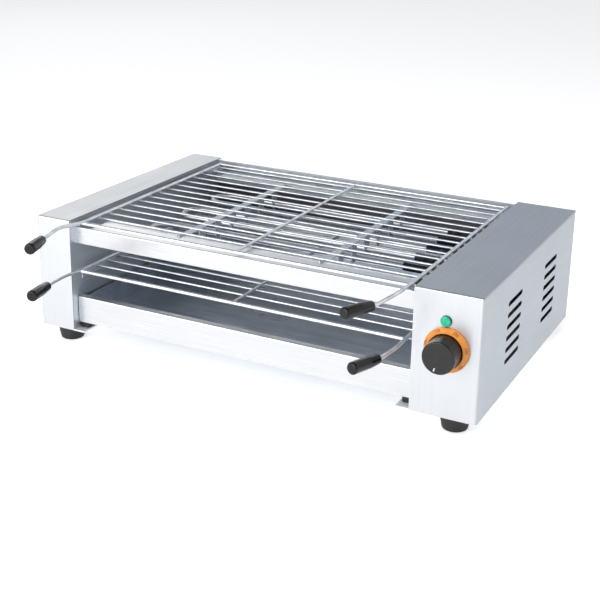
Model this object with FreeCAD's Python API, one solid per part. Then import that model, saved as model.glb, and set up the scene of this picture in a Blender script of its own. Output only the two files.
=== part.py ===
import FreeCAD, Part
import math
import os
from collections import namedtuple

os.makedirs("parts", exist_ok=True)
V = FreeCAD.Vector

# An electric kebab grill: two stainless housings, two crossbars, two wire grates that lift
# off or slide out, three hairpin elements and a drip tray.
# Lengths are millimetres. X runs along the grill, the front faces -Y and the table is z = 0.

# Overall sizes
WIDTH = 650.0
DEPTH = 405.0
HOUSING_H = 162.0
FOOT_H = 22.0
LEFT_W = 55.0
RIGHT_W = 87.0

# Sheet metal
SHEET = 1.2
BASE_SHEET = 2.0
BEND = 2.2            # outside radius of a fold
FLANGE = 12.0         # folded-over edges that join one sheet to the next
LEDGE = 18.0          # how far base plates and grate ledges reach in from the walls
RECESS = 12.0         # crossbar and tray front stand back from the housing fronts
REAR_STEP = 5.0       # the housing sides stop short of the back of the rear covers
COVER_GAP = 0.3       # room between a shell and what is nested in it
COVER_RETURN = 15.0

# Crossbars, measured from the underside of the housings
CROSS_LOW = 126.0
CROSS_TOP = 151.0
CROSS_SHELF = 46.0    # depth of the shelf behind each crossbar face
SHELF_CUT_LEFT = 27.0
SHELF_CUT_RIGHT = 19.0
REAR_DROP = 5.0       # the rear shelf lies lower than the front one
REAR_LEG = 20.0
PANEL_SHORT = 1.0     # the rear panel stays this far below the housing tops

# Grates
REST_GAP = 0.3        # round wire over the sheet that carries it
ROD_R = 2.5
WIRE_R = 1.5
MID_ROD_R = 2.0
WELD = 0.3            # depth to which crossing wires melt together
WIRE_PAST = 1.5       # cross wires stand out past the side rods that lie on them
ROD_IN = 11.0         # side rods from the inner walls
WIRE_COUNT = 14
LEDGE_TOP = 83.5      # ledges of the lower grate, from the underside of the housings
LEDGE_LEG = 12.0
UPPER_FRONT = 1.5     # front wires, behind the crossbar face
LOWER_FRONT = -5.1
UPPER_FIRST = 43.5    # first cross wires, behind the crossbar face
LOWER_FIRST = 34.5
UPPER_LAST = 14.5     # last cross wires, in front of the rear panel
LOWER_LAST = 21.5
REAR_WIRE = 5.0       # rear frame wire behind the last cross wire
REST_LENGTH = 30.0
REST_FROM_PANEL = 12.0

# Arms and grips of the grates: forward, inward and up
UPPER_BOW = (46.0, -3.0, 5.5)     # from the front wire to the middle of the arm
LOWER_BOW = (32.0, -2.4, 2.0)
UPPER_ARM = (94.2, 8.0, 4.2)      # from the front wire to the start of the grip
LOWER_ARM = (75.6, 3.0, 2.9)
UPPER_GRIP = (41.3, 14.6, 2.2)    # from the start of the grip to where its rim begins to round
LOWER_GRIP = (45.1, 11.6, 3.0)
ARM_BEND = 60.0
GRIP_THIN = 6.2       # radius of a grip at the wire
GRIP_THICK = 7.6
GRIP_SWELL = 20.0     # length over which it grows thick
GRIP_SHOULDER = 2.0   # rounding of its edge at the wire
GRIP_RIM = 2.5        # and of the edge of its flat end
GRIP_HOLD = 25.0      # length of wire inside a grip
BEND_TO_GRIP = 9.0

# Drip tray
TRAY_UP = 10.0        # underside of the tray above the underside of the housings
TRAY_FRONT_H = 38.5
TRAY_FRONT_RETURN = 10.0
TRAY_GAP = 1.0        # tray front to the inner walls
PAN_GAP = 4.0         # pan sides to the inner walls
PAN_H = 34.0
PAN_CORNER = 8.0
PAN_REAR_GAP = 5.0
RUNNER_W = 10.0
RUNNER_IN = 4.0

# Heating elements
ELEMENT_R = 4.0
ELEMENT_UP = 131.0    # element axes above the underside of the housings
LEG_PITCH = 42.0
TIP_IN = 55.0         # bent ends from the left inner wall
TAIL = 24.0           # element ends inside the right housing
SLEEVE_R = 5.5
SLEEVE_END = 70.0     # cold sleeves reach this far from the right inner wall
BUSH_R = 6.5
BUSH_FLATS = 16.0
BUSH_NUT_FLATS = 18.0
BUSH_HEAD = 4.0
BUSH_THREAD = 8.0
BEAD_R = 3.5
BEAD_H = 3.0
PIN_R = 1.75
PIN_H = 14.0
LINK_W = 6.0
LINK_T = 1.0
LINK_OFF = 20.0       # link bars above or below the element axes
LINK_PAST = 13.0

# Element combs
COMB_IN = 106.0       # each comb from the middle of the grates
COMB_W = 12.0
COMB_LAP = 18.0       # how far each comb reaches under the front shelf
COMB_FOOT = 15.0
TONGUE_R = 8.0
HOLE_GAP = 0.25       # clearance round whatever passes through a hole

# Feet
FOOT_TOP_R = 20.5
FOOT_LOW_R = 16.0
FOOT_ROUND = 3.0
FOOT_IN = 25.5        # foot centres from the fronts and backs of the housings
FOOT_LEFT = 22.5      # foot centres from the inner walls
FOOT_RIGHT = 52.0
FOOT_POCKET_R = 7.5
FOOT_POCKET = 8.0

# Control panel
DIAL_IN = 45.0        # dial axis from the right inner wall
DIAL_UP = 90.0
BEZEL_R = 28.5
BEZEL_H = 7.5
BEZEL_EDGE = 3.5      # height of the bezel at its rim
BEZEL_LIP = 1.0
BEZEL_FLOOR = 2.0
DIAL_SCREW_OUT = 14.0
KNOB_R = 21.5
KNOB_FACE_R = 20.5
KNOB_OUT = 31.0       # knob face in front of the panel
KNOB_GAP = 0.8
KNOB_WALL = 2.5
KNOB_ROUND = 1.6
HUB_R = 7.0
SHAFT_R = 3.0
SHAFT_GAP = 0.05
SHAFT_FLAT = 1.0
SHAFT_SHORT = 6.0     # the shaft ends this far behind the knob face
POINTER_W = 1.6
POINTER_L = 4.5
POINTER_T = 0.6
POINTER_IN = 3.0      # from the rim of the knob face
POINTER_ANGLE = 15.0  # from straight down, towards the left
THERMOSTAT = (40.0, 41.0, 34.0)
THERMOSTAT_CORNER = 2.0
PILOT_IN = 42.0
PILOT_ABOVE = 35.7    # above the dial axis
PILOT_R = 7.0
PILOT_RIM = 1.6
LENS_R = 6.5
LENS_OUT = 3.0
LENS_ROUND = 1.4
BARREL_R = 5.5
BARREL_L = 27.0
BARREL_FLATS = 18.0
PILOT_PIN = 4.0       # pilot light pins either side of its middle

# Louvres in the right side
LOUVRE_L = 57.0
LOUVRE_H = 6.6
LOUVRE_PITCH = 15.6
LOUVRE_COUNT = 6
LOUVRE_LOW = 43.2
LOUVRE_FRONT = 98.5   # front column's near end, from the housing front
LOUVRE_REAR = 91.5    # rear column's far end, from the housing back

# Inside the right housing
BOARD_T = 8.0
BOARD_H = 98.0
BOARD_GAP = 6.6       # board below the nuts of the element bushes
BOARD_MARGIN = 16.0
BLOCK = (46.0, 20.0, 20.0)
BLOCK_GAP = 15.0      # terminal block behind the last element leg
POLE_PITCH = 15.0
POLE_DEPTH = 8.0
BULB_R = 3.0
BULB_L = 100.0
BULB_UP = 143.0
BULB_IN = 6.0
BULB_CLIP = 8.0
CLIP_IN = 8.0         # middles of the clips from the ends of the bulb
TUBE_R = 1.0
CORE_R = 1.5
PILOT_WIRE_R = 1.0
WIRE_BEND = 6.0
WIRE_RUN = 25.0       # straight run of a wire before it turns
WIRE_RISE = 15.0
TUBE_OFF = 2.0        # the capillary tube runs this far inwards of the dial axis
WIRE_OFF_SIDE = 18.0
EARTH_IN = 70.0
EARTH_AHEAD = 35.5    # earth stud in front of the terminal block
EARTH_R = 2.5
EARTH_H = 18.0

# Cable gland in the right rear cover
GLAND_UP = 32.0
GLAND_IN = 47.0
GLAND_FLATS = 22.0
GLAND_HEX = 6.0
GLAND_DOME = 14.0
GLAND_DOME_R = 10.0
GLAND_ROUND = 4.0
GLAND_THREAD_R = 8.0
GLAND_THREAD = 10.0
GLAND_BORE_R = 4.5
GLAND_NUT = 4.0

# Fasteners
SCREW_R = 2.0
SCREW_HEAD_R = 3.8
SCREW_HEAD = 2.4
HEAD_ROUND = 0.4      # rounding of a screw head, as a share of its height
CROSS_REACH = 0.55    # cross recess, as shares of the head's radius and height
CROSS_WIDTH = 0.24
CROSS_DEPTH = 0.5
SCREW_TIP = 3.0       # how far a screw reaches past the last sheet
RIVET_R = 1.6
RIVET_HEAD_R = 3.2
RIVET_HEAD = 1.4
RIVET_ROUND = 0.7
FOOT_SCREW_R = 3.0
NUT_T = 5.0
NUT_FLATS = 10.0
SMALL_NUT_T = 3.0
SMALL_NUT_FLATS = 7.0

# Places worked out from the sizes above
TOUCH = 1e-4
BASE_Z = FOOT_H
TOP_Z = FOOT_H + HOUSING_H
DECK_Z = BASE_Z + BASE_SHEET
FRONT_Y = -DEPTH / 2
BACK_Y = DEPTH / 2
FACE_Y = FRONT_Y + RECESS
PANEL_Y = BACK_Y - RECESS
LEFT_WALL = -WIDTH / 2 + LEFT_W
RIGHT_WALL = WIDTH / 2 - RIGHT_W
MID_X = (LEFT_WALL + RIGHT_WALL) / 2
SPAN = RIGHT_WALL - LEFT_WALL
SHELF_Z = BASE_Z + CROSS_TOP
REAR_SHELF_Z = SHELF_Z - REAR_DROP
ELEMENT_Z = BASE_Z + ELEMENT_UP
COMB_Z = SHELF_Z - SHEET
DIAL_X = RIGHT_WALL + DIAL_IN
DIAL_Z = BASE_Z + DIAL_UP
PILOT_X = RIGHT_WALL + PILOT_IN
PILOT_Z = DIAL_Z + PILOT_ABOVE

Side = namedtuple("Side", "name wall out width foot")
LEFT = Side("left", LEFT_WALL, -1, LEFT_W, FOOT_LEFT)
RIGHT = Side("right", RIGHT_WALL, 1, RIGHT_W, FOOT_RIGHT)
SIDES = (LEFT, RIGHT)

Grate = namedtuple("Grate", "name rod_z front first last bow arm grip")
ROD_UP = REST_GAP + 2 * WIRE_R + ROD_R      # rods lie on the cross wires, which lie on a sheet
UPPER = Grate(
    "upper", SHELF_Z + ROD_UP, FACE_Y + UPPER_FRONT, FACE_Y + UPPER_FIRST,
    PANEL_Y - UPPER_LAST, UPPER_BOW, UPPER_ARM, UPPER_GRIP)
LOWER = Grate(
    "lower", BASE_Z + LEDGE_TOP + ROD_UP, FACE_Y + LOWER_FRONT, FACE_Y + LOWER_FIRST,
    PANEL_Y - LOWER_LAST, LOWER_BOW, LOWER_ARM, LOWER_GRIP)
GRATES = (UPPER, LOWER)


def grip_reach(grate):
    """Frontmost point of a grip, which is on the rounded rim of its slanting end."""
    ahead = grate.grip[0] / math.hypot(*grate.grip)
    rim = (GRIP_THICK - GRIP_RIM) * math.sqrt(1 - ahead ** 2) + GRIP_RIM
    return grate.front - grate.arm[0] - grate.grip[0] - rim


# The origin lies under the middle of the whole grill, grips and cable gland included
FRONT_REACH = min(grip_reach(grate) for grate in GRATES)
BACK_REACH = BACK_Y + GLAND_HEX + GLAND_DOME
ORIGIN_Y = -(FRONT_REACH + BACK_REACH) / 2


def save(name, *shapes):
    """Write one node; several shapes make a group of separate solids."""
    shape = shapes[0] if len(shapes) == 1 else Part.makeCompound(list(shapes))
    placed = shape.copy()
    placed.translate(V(0, ORIGIN_Y, 0))
    placed.exportStep(f"parts/{name}.step")


def box(x0, x1, y0, y1, z0, z1):
    return Part.makeBox(x1 - x0, y1 - y0, z1 - z0, V(x0, y0, z0))


def side_x(side, reach):
    """X at a distance outwards from the inner wall's face of one housing."""
    return side.wall + side.out * reach


def side_box(side, a0, a1, y0, y1, z0, z1):
    x0, x1 = sorted((side_x(side, a0), side_x(side, a1)))
    return box(x0, x1, y0, y1, z0, z1)


def cylinder(start, way, radius, length):
    return Part.makeCylinder(radius, length, start, way)


def hexagon(start, way, flats, height):
    """Hexagonal prism whose opposite faces are flats apart."""
    radius = flats / math.sqrt(3)
    axis = V(way).normalize()
    side = axis.cross(V(0, 0, 1)) if abs(axis.z) < 0.9 else V(1, 0, 0)
    up = axis.cross(side)
    turns = [math.radians(60 * i) for i in range(7)]
    points = [start + side * (radius * math.cos(t)) + up * (radius * math.sin(t)) for t in turns]
    return Part.Face(Part.makePolygon(points)).extrude(axis * height)


def join(shapes):
    return shapes[0].multiFuse(shapes[1:]).removeSplitter()


def edges_between(solid, pairs):
    """Straight edges of a solid that run from one given point to another."""
    found = []
    for edge in solid.Edges:
        if len(edge.Vertexes) != 2:
            continue
        first, last = (vertex.Point for vertex in edge.Vertexes)
        for start, end in pairs:
            forward = first.distanceToPoint(start) + last.distanceToPoint(end)
            backward = first.distanceToPoint(end) + last.distanceToPoint(start)
            if min(forward, backward) < TOUCH:
                found.append(edge)
    return found


def fold(points, along, thick=SHEET, bend=BEND):
    """Sheet with square folds: its outline runs through the points, the metal lies to the left
    of that path seen against along, and the sheet is drawn out by along."""
    normal = V(along).normalize()
    ways = [(b - a).normalize() for a, b in zip(points, points[1:])]
    lefts = [normal.cross(way) for way in ways]
    other = [points[0] + lefts[0] * thick]
    for before, after, point in zip(lefts, lefts[1:], points[1:]):
        other.append(point + (before + after) * thick)
    other.append(points[-1] + lefts[-1] * thick)
    solid = Part.Face(Part.makePolygon(points + other[::-1] + points[:1])).extrude(along)
    if bend <= thick:
        return solid
    outer = []
    inner = []
    for index in range(1, len(points) - 1):
        turns_left = ways[index - 1].cross(ways[index]).dot(normal) > 0
        convex, concave = points[index], other[index]
        if not turns_left:
            convex, concave = concave, convex
        outer.append((convex, convex + along))
        inner.append((concave, concave + along))
    solid = solid.makeFillet(bend, edges_between(solid, outer))
    return solid.makeFillet(bend - thick, edges_between(solid, inner))


def rod(points, radius, bend):
    """Round wire through the points, with its corners bent to one radius."""
    edges = []
    start = points[0]
    for before, corner, after in zip(points, points[1:], points[2:]):
        into = (corner - before).normalize()
        out = (after - corner).normalize()
        half = into.getAngle(out) / 2
        first = corner - into * (bend * math.tan(half))
        last = corner + out * (bend * math.tan(half))
        middle = corner + (out - into).normalize() * (bend / math.cos(half) - bend)
        if start.distanceToPoint(first) > TOUCH:
            edges.append(Part.LineSegment(start, first).toShape())
        edges.append(Part.Arc(first, middle, last).toShape())
        start = last
    edges.append(Part.LineSegment(start, points[-1]).toShape())
    ring = Part.Wire(Part.Circle(points[0], points[1] - points[0], radius).toShape())
    return Part.Wire(edges).makePipeShell([ring], True, False)


def turned(profile, start, way):
    """Solid of revolution: profile points are (radius, height) along way from start."""
    points = [V(radius, 0, height) for radius, height in profile]
    face = Part.Face(Part.makePolygon(points + points[:1]))
    solid = face.revolve(V(0, 0, 0), V(0, 0, 1), 360)
    solid.Placement = FreeCAD.Placement(start, FreeCAD.Rotation(V(0, 0, 1), way))
    return solid


def screw(seat, way, length, radius=SCREW_R, head_r=SCREW_HEAD_R, head=SCREW_HEAD):
    """Pan-head screw: its head lies on the seat, its shank runs along way."""
    axis = V(way).normalize()
    shank = cylinder(seat, axis, radius, length)
    cap = cylinder(seat - axis * head, axis, head_r, head)
    rim = [edge for edge in cap.Edges if len(edge.Vertexes) == 1
           and edge.CenterOfMass.distanceToPoint(seat - axis * head) < TOUCH]
    cap = cap.makeFillet(head * HEAD_ROUND, rim)
    cross = []
    side = axis.cross(V(0, 0, 1)) if abs(axis.z) < 0.9 else V(1, 0, 0)
    for arm in (side, axis.cross(side)):
        across = axis.cross(arm)
        reach = arm * (head_r * CROSS_REACH)
        half = across * (head_r * CROSS_WIDTH / 2)
        middle = seat - axis * head
        points = [middle - reach - half, middle + reach - half,
                  middle + reach + half, middle - reach + half]
        face = Part.Face(Part.makePolygon(points + points[:1]))
        cross.append(face.extrude(axis * (head * CROSS_DEPTH)))
    return join([cap, shank]).cut(cross[0]).cut(cross[1])


def nut(seat, way, flats, height, radius):
    """Hexagonal nut that stands on the seat and reaches along way."""
    axis = V(way).normalize()
    return hexagon(seat, axis, flats, height).cut(cylinder(seat, axis, radius, height))


def bored(shape, holes, radius, depth):
    """Shape with round holes: each hole is a start point and a direction."""
    tools = [cylinder(start, way, radius, depth) for start, way in holes]
    return shape.cut(Part.makeCompound(tools))


# Fastener places

def foot_places(side):
    x = side_x(side, side.foot)
    return [V(x, y, 0) for y in (FRONT_Y + FOOT_IN, BACK_Y - FOOT_IN)]


def cover_screw_places(side):
    """Seats of the screws that hold one rear cover: two in the wall, one in the base."""
    wall_x = side_x(side, SHEET + FLANGE / 2)
    tab_x = side_x(side, side.width - 2 * FLANGE)
    low = V(tab_x, BACK_Y, DECK_Z + FLANGE / 2)
    return [V(wall_x, BACK_Y, DECK_Z + 2 * FLANGE), V(wall_x, BACK_Y, TOP_Z - 2 * FLANGE), low]


def crossbar_screw_places(side):
    """Seats of the crossbar screws, on the hidden side of the inner wall."""
    x = side_x(side, SHEET)
    front_z = BASE_Z + (CROSS_LOW + CROSS_TOP) / 2
    front = V(x, FACE_Y + SHEET + FLANGE / 2, front_z)
    panel_y = PANEL_Y + SHEET + SCREW_HEAD_R
    return [front] + [V(x, panel_y, z) for z in (DECK_Z + 2 * FLANGE, SHELF_Z - FLANGE)]


def ledge_rivet_places(side):
    """Rivet heads on the ledges of the lower grate, and on the rear rests of the upper one."""
    x = side_x(side, -SHEET)
    leg_z = BASE_Z + LEDGE_TOP - LEDGE_LEG / 2
    ledge = [V(x, y, leg_z) for y in (FACE_Y + 2 * FLANGE, 0, PANEL_Y - 2 * FLANGE)]
    return ledge + [V(x, rest_middle(), SHELF_Z - LEDGE_LEG / 2)]


def rest_middle():
    return PANEL_Y - REST_FROM_PANEL - REST_LENGTH / 2


def leg_places():
    """Y of the six element legs, front to back."""
    return [LEG_PITCH * (i - 2.5) for i in range(6)]


# Housings

def housing(side):
    """Front, top and outer side of one housing, folded from one sheet."""
    shell = side_box(side, 0, side.width, FRONT_Y, BACK_Y, BASE_Z, TOP_Z)
    inner_x = side.wall
    outer_x = side_x(side, side.width)
    front_top = (V(inner_x, FRONT_Y, TOP_Z), V(outer_x, FRONT_Y, TOP_Z))
    side_top = (V(outer_x, FRONT_Y, TOP_Z), V(outer_x, BACK_Y, TOP_Z))
    front_side = (V(outer_x, FRONT_Y, BASE_Z), V(outer_x, FRONT_Y, TOP_Z))
    shell = shell.makeFillet(BEND, edges_between(shell, [front_top, side_top, front_side]))
    hollow_x = side_x(side, side.width - SHEET)
    front = FRONT_Y + SHEET
    top = TOP_Z - SHEET
    hollow = side_box(side, 0, side.width - SHEET, front, BACK_Y, BASE_Z, top)
    inner_edges = [
        (V(inner_x, front, top), V(hollow_x, front, top)),
        (V(hollow_x, front, top), V(hollow_x, BACK_Y, top)),
        (V(hollow_x, front, BASE_Z), V(hollow_x, front, top))]
    hollow = hollow.makeFillet(BEND - SHEET, edges_between(hollow, inner_edges))
    step = side_box(side, side.width - SHEET, side.width, BACK_Y - REAR_STEP, BACK_Y, BASE_Z, top)
    return shell.cut(hollow).cut(step)


def louvres():
    """The slots through the right side, as one cutting shape."""
    slots = []
    straight = LOUVRE_L - LOUVRE_H
    x = WIDTH / 2 - 2 * SHEET
    starts = (FRONT_Y + LOUVRE_FRONT, BACK_Y - LOUVRE_REAR - LOUVRE_L)
    for start in starts:
        for row in range(LOUVRE_COUNT):
            z = BASE_Z + LOUVRE_LOW + row * LOUVRE_PITCH
            y = start + LOUVRE_H / 2
            bar = box(x, x + 3 * SHEET, y, y + straight, z - LOUVRE_H / 2, z + LOUVRE_H / 2)
            ends = [cylinder(V(x, end, z), V(1, 0, 0), LOUVRE_H / 2, 3 * SHEET)
                    for end in (y, y + straight)]
            slots.append(join([bar] + ends))
    return Part.makeCompound(slots)


def inner_wall(side):
    """Wall between housing and grill, with a flange on each of its four edges."""
    low = DECK_Z
    high = TOP_Z - SHEET - COVER_GAP
    front = FRONT_Y + SHEET + COVER_GAP
    back = BACK_Y - SHEET
    plate = side_box(side, 0, SHEET, front, back, low, high)
    reach = SHEET + FLANGE
    flanges = [
        side_box(side, 0, reach, front, front + SHEET, low, high),
        side_box(side, 0, reach, back - SHEET, back, low, high),
        side_box(side, 0, reach, front, back, low, low + SHEET),
        side_box(side, 0, reach, front, back, high - SHEET, high)]
    wall = join([plate] + flanges)
    inward = V(side.out, 0, 0)
    start = V(-side.out, 0, 0)
    screws = [(p + start * (2 * SHEET), inward) for p in crossbar_screw_places(side)]
    wall = bored(wall, screws, SCREW_R + HOLE_GAP, 3 * SHEET)
    rivets = [(p, inward) for p in ledge_rivet_places(side)]
    wall = bored(wall, rivets, RIVET_R + HOLE_GAP, 3 * SHEET)
    back_holes = [(p - V(0, 3 * SHEET, 0), V(0, 1, 0)) for p in cover_screw_places(side)]
    return bored(wall, back_holes, SCREW_R + HOLE_GAP, 3 * SHEET)


def base_plate(side):
    """Base of one housing; its inner edge is the ledge that the tray runs on."""
    inside = side_box(side, 0, side.width - SHEET - COVER_GAP, FRONT_Y + SHEET + COVER_GAP, BACK_Y,
                      BASE_Z, DECK_Z)
    ledge = side_box(side, -LEDGE, 0, FRONT_Y, BACK_Y, BASE_Z, DECK_Z)
    tab_end = side.width - FLANGE
    back = BACK_Y - SHEET
    tab = side_box(side, tab_end - 2 * FLANGE, tab_end, back - SHEET, back, BASE_Z, DECK_Z + FLANGE)
    plate = join([inside, ledge, tab])
    holes = [(V(p.x, p.y, BASE_Z), V(0, 0, 1)) for p in foot_places(side)]
    plate = bored(plate, holes, FOOT_SCREW_R + HOLE_GAP, 2 * BASE_SHEET)
    screw_hole = cover_screw_places(side)[2] - V(0, 3 * SHEET, 0)
    return bored(plate, [(screw_hole, V(0, 1, 0))], SCREW_R + HOLE_GAP, 3 * SHEET)


def rear_cover(side):
    """Back of one housing, nested inside its shell."""
    edge = side_x(side, side.width - SHEET - COVER_GAP)
    points = [V(side.wall, BACK_Y, DECK_Z), V(edge, BACK_Y, DECK_Z),
              V(edge, BACK_Y - COVER_RETURN, DECK_Z)]
    if side.out > 0:
        points = points[::-1]
    cover = fold(points, V(0, 0, TOP_Z - SHEET - COVER_GAP - DECK_Z))
    holes = [(p - V(0, 2 * SHEET, 0), V(0, 1, 0)) for p in cover_screw_places(side)]
    return bored(cover, holes, SCREW_R + HOLE_GAP, 3 * SHEET)


def foot(place):
    """Rubber foot with a pocket for its screw head."""
    profile = [(0, 0), (FOOT_LOW_R, 0), (FOOT_TOP_R, FOOT_H), (0, FOOT_H)]
    body = turned(profile, place, V(0, 0, 1))
    rims = [edge for edge in body.Edges if len(edge.Vertexes) == 1]
    low = [edge for edge in rims if abs(edge.BoundBox.ZMax) < TOUCH]
    body = body.makeFillet(FOOT_ROUND, low)
    body = body.cut(cylinder(place, V(0, 0, 1), FOOT_POCKET_R, FOOT_POCKET))
    return body.cut(cylinder(place, V(0, 0, 1), FOOT_SCREW_R + HOLE_GAP, FOOT_H))


def housings():
    for side in SIDES:
        shell = housing(side)
        if side is RIGHT:
            shell = shell.cut(louvres()).cut(panel_holes())
        save(f"{side.name}_housing", shell)
        wall = inner_wall(side)
        if side is RIGHT:
            ends = [(V(RIGHT_WALL - SHEET, y, ELEMENT_Z), V(1, 0, 0)) for y in leg_places()]
            wall = bored(wall, ends, BUSH_R + HOLE_GAP, 3 * SHEET)
            wall = bored(wall, [(V(RIGHT_WALL - SHEET, bulb_entry_y(), bulb_z()), V(1, 0, 0))],
                         TUBE_R + HOLE_GAP, 3 * SHEET)
        save(f"{side.name}_inner_wall", wall)
        save(f"{side.name}_base", base_plate(side))
        cover = rear_cover(side)
        if side is RIGHT:
            cover = bored(cover, [(gland_place(-2 * SHEET), V(0, 1, 0))],
                          GLAND_THREAD_R + HOLE_GAP, 3 * SHEET)
        save(f"{side.name}_rear_cover", cover)
    places = foot_places(LEFT) + foot_places(RIGHT)
    save("feet", *[foot(place) for place in places])
    head_z = FOOT_POCKET
    length = DECK_Z + NUT_T + SCREW_TIP - head_z
    save("foot_screws", *[
        screw(V(p.x, p.y, head_z), V(0, 0, 1), length, FOOT_SCREW_R, 2 * FOOT_SCREW_R, FOOT_SCREW_R)
        for p in places])
    save("foot_nuts", *[
        nut(V(p.x, p.y, DECK_Z), V(0, 0, 1), NUT_FLATS, NUT_T, FOOT_SCREW_R) for p in places])


def frame_fasteners():
    """Pan-head screws of covers, crossbars, combs and dial, and the rivets of the ledges."""
    length = 2 * SHEET + SCREW_TIP
    back = [p for side in SIDES for p in cover_screw_places(side)]
    screws = [screw(place, V(0, -1, 0), length) for place in back]
    rivets = []
    for side in SIDES:
        for place in crossbar_screw_places(side):
            screws.append(screw(place, V(-side.out, 0, 0), length))
        for place in ledge_rivet_places(side):
            rivets.append(rivet(place, V(side.out, 0, 0)))
    for x in comb_places():
        screws.append(screw(V(x, comb_lap_y(), SHELF_Z), V(0, 0, -1), length))
        screws.append(screw(V(x, comb_foot_y(), REAR_SHELF_Z + SHEET), V(0, 0, -1), length))
    for place in dial_screw_places(BEZEL_FLOOR):
        screws.append(screw(place, V(0, 1, 0), BEZEL_FLOOR + SHEET + SCREW_TIP))
    save("pan_head_screws", *screws)
    save("ledge_rivets", *rivets)


def rivet(seat, way):
    """Blind rivet: a low domed head on the seat and a shank along way."""
    head = cylinder(seat - way * RIVET_HEAD, way, RIVET_HEAD_R, RIVET_HEAD)
    rim = [edge for edge in head.Edges if len(edge.Vertexes) == 1
           and edge.CenterOfMass.distanceToPoint(seat - way * RIVET_HEAD) < TOUCH]
    head = head.makeFillet(RIVET_HEAD * RIVET_ROUND, rim)
    return join([head, cylinder(seat, way, RIVET_R, 2 * SHEET + SCREW_TIP)])


# Crossbars, rear panel and ledges

def shelf_cuts(y0, y1, z0, z1):
    """What is cut away at the two ends of a crossbar shelf."""
    left = box(LEFT_WALL, LEFT_WALL + SHELF_CUT_LEFT, y0, y1, z0, z1)
    right = box(RIGHT_WALL - SHELF_CUT_RIGHT, RIGHT_WALL, y0, y1, z0, z1)
    return left.fuse(right)


def end_tabs(y0, y1, z0, z1):
    return [side_box(side, -SHEET, 0, y0, y1, z0, z1) for side in SIDES]


def front_crossbar():
    low = BASE_Z + CROSS_LOW
    points = [V(RIGHT_WALL, FACE_Y + FLANGE, low), V(RIGHT_WALL, FACE_Y, low),
              V(RIGHT_WALL, FACE_Y, SHELF_Z), V(RIGHT_WALL, FACE_Y + CROSS_SHELF, SHELF_Z)]
    bar = fold(points, V(-SPAN, 0, 0))
    bar = bar.cut(shelf_cuts(FACE_Y + BEND, FACE_Y + CROSS_SHELF, SHELF_Z - SHEET, SHELF_Z))
    tab_y = FACE_Y + SHEET
    bar = join([bar] + end_tabs(tab_y, tab_y + FLANGE, low, SHELF_Z - BEND))
    holes = [(crossbar_screw_places(side)[0] + V(side.out * SHEET, 0, 0), V(-side.out, 0, 0))
             for side in SIDES]
    bar = bored(bar, holes, SCREW_R + HOLE_GAP, 4 * SHEET)
    holes = [(V(x, comb_lap_y(), SHELF_Z - 2 * SHEET), V(0, 0, 1)) for x in comb_places()]
    return bored(bar, holes, SCREW_R + HOLE_GAP, 3 * SHEET)


def rear_crossbar():
    points = [V(LEFT_WALL, PANEL_Y, REAR_SHELF_Z - REAR_LEG), V(LEFT_WALL, PANEL_Y, REAR_SHELF_Z),
              V(LEFT_WALL, PANEL_Y - CROSS_SHELF, REAR_SHELF_Z)]
    bar = fold(points, V(SPAN, 0, 0))
    edge = PANEL_Y - CROSS_SHELF
    bar = bar.cut(shelf_cuts(edge, PANEL_Y - BEND, REAR_SHELF_Z - SHEET, REAR_SHELF_Z))
    holes = [(V(x, comb_foot_y(), REAR_SHELF_Z - 2 * SHEET), V(0, 0, 1)) for x in comb_places()]
    return bored(bar, holes, SCREW_R + HOLE_GAP, 3 * SHEET)


def rear_panel():
    depth = RECESS - SHEET
    points = [V(LEFT_WALL, PANEL_Y + depth, DECK_Z), V(LEFT_WALL, PANEL_Y, DECK_Z),
              V(RIGHT_WALL, PANEL_Y, DECK_Z), V(RIGHT_WALL, PANEL_Y + depth, DECK_Z)]
    panel = fold(points, V(0, 0, TOP_Z - PANEL_SHORT - DECK_Z))
    holes = [(p + V(side.out * SHEET, 0, 0), V(-side.out, 0, 0))
             for side in SIDES for p in crossbar_screw_places(side)[1:]]
    return bored(panel, holes, SCREW_R + HOLE_GAP, 4 * SHEET)


def angle(side, y0, y1, top):
    """Angle strip on an inner wall: a level leg at the top, the other leg down the wall."""
    points = [V(side_x(side, -LEDGE), y0, top), V(side.wall, y0, top),
              V(side.wall, y0, top - LEDGE_LEG)]
    if side.out < 0:
        points = points[::-1]
    return fold(points, V(0, y1 - y0, 0))


def ledges():
    """Ledges that the lower grate slides on, and rests under the rear of the upper one."""
    strips = []
    rests = []
    half = REST_LENGTH / 2
    for side in SIDES:
        inward = V(side.out, 0, 0)
        places = [(p - inward * SHEET, inward) for p in ledge_rivet_places(side)]
        strip = angle(side, FACE_Y + FLANGE, PANEL_Y - FLANGE, BASE_Z + LEDGE_TOP)
        strips.append(bored(strip, places, RIVET_R + HOLE_GAP, 3 * SHEET))
        rest = angle(side, rest_middle() - half, rest_middle() + half, SHELF_Z)
        place = ledge_rivet_places(side)[-1] - inward * SHEET
        rests.append(bored(rest, [(place, inward)], RIVET_R + HOLE_GAP, 3 * SHEET))
    save("grate_ledges", *strips)
    save("rear_grate_rests", *rests)


# Heating elements and their combs

def comb_places():
    return [MID_X - COMB_IN, MID_X + COMB_IN]


def comb_lap_y():
    """Y of the comb screws in the front shelf."""
    return FACE_Y + CROSS_SHELF - COMB_LAP / 2


def comb_foot_y():
    """Y of the comb screws on the rear shelf."""
    return PANEL_Y - CROSS_SHELF + COMB_FOOT / 2


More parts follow.
